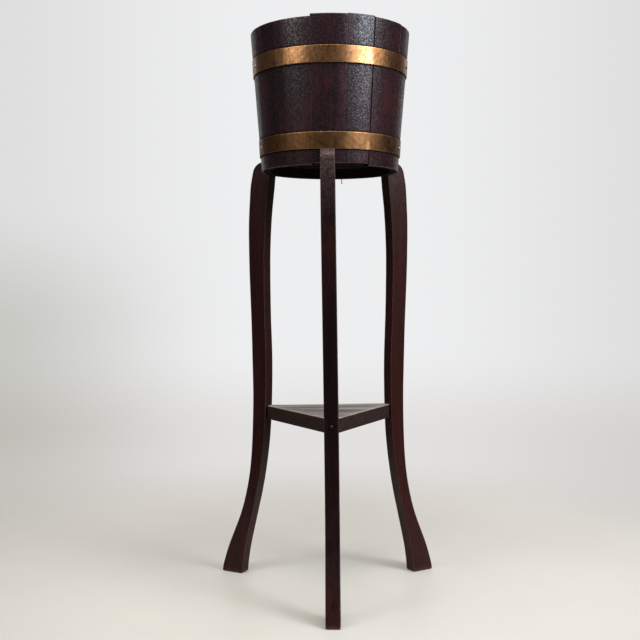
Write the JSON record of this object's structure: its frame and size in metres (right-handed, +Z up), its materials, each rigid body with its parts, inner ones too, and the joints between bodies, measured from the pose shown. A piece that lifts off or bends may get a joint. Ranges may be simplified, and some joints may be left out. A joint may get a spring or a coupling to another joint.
{
  "type": "barrel plant stand",
  "caption": "Tapered tub of dark wooden staves bound with brass hoops, raised on tall curved legs that a small three-cornered shelf ties together.",
  "frame": {"origin": "middle of the stand's plan, on the floor", "axes": "+Z up; the single front leg points towards -Y, and +X is to the right of someone facing it"},
  "size_m": [0.393, 0.3568, 0.9714],
  "materials": {
    "stave_oak": "very dark purple-brown stain under a worn semi-gloss varnish",
    "bottom_oak": "dark stain, dull and water marked",
    "dowel_oak": "bare",
    "hoop_brass": "old brass, brown tarnish with brighter worn patches",
    "pin_brass": "tarnished",
    "leg_oak": "near-black brown stain under semi-gloss varnish",
    "shelf_oak": "dark stain, worn grey-brown on top",
    "screw_steel": "blackened",
    "nail_steel": "darkened"
  },
  "bodies": {
    "root": {"stave_01": "stave_oak", "stave_02": "stave_oak", "stave_03": "stave_oak", "stave_04": "stave_oak", "stave_05": "stave_oak", "stave_06": "stave_oak", "stave_07": "stave_oak", "stave_08": "stave_oak", "stave_09": "stave_oak", "stave_10": "stave_oak", "stave_11": "stave_oak", "stave_12": "stave_oak", "stave_13": "stave_oak", "stave_14": "stave_oak", "bottom_board_1": "bottom_oak", "bottom_board_2": "bottom_oak", "bottom_board_3": "bottom_oak", "bottom_dowels": "dowel_oak", "hoop_lower": "hoop_brass", "hoop_upper": "hoop_brass", "hoop_lower_rivets": "hoop_brass", "hoop_upper_rivets": "hoop_brass", "hoop_lower_pins": "pin_brass", "hoop_upper_pins": "pin_brass", "leg_front": "leg_oak", "leg_right": "leg_oak", "leg_left": "leg_oak", "shelf": "shelf_oak", "shelf_screws": "screw_steel", "tub_screws": "screw_steel", "bottom_nail": "nail_steel"}
  },
  "joints": []
}
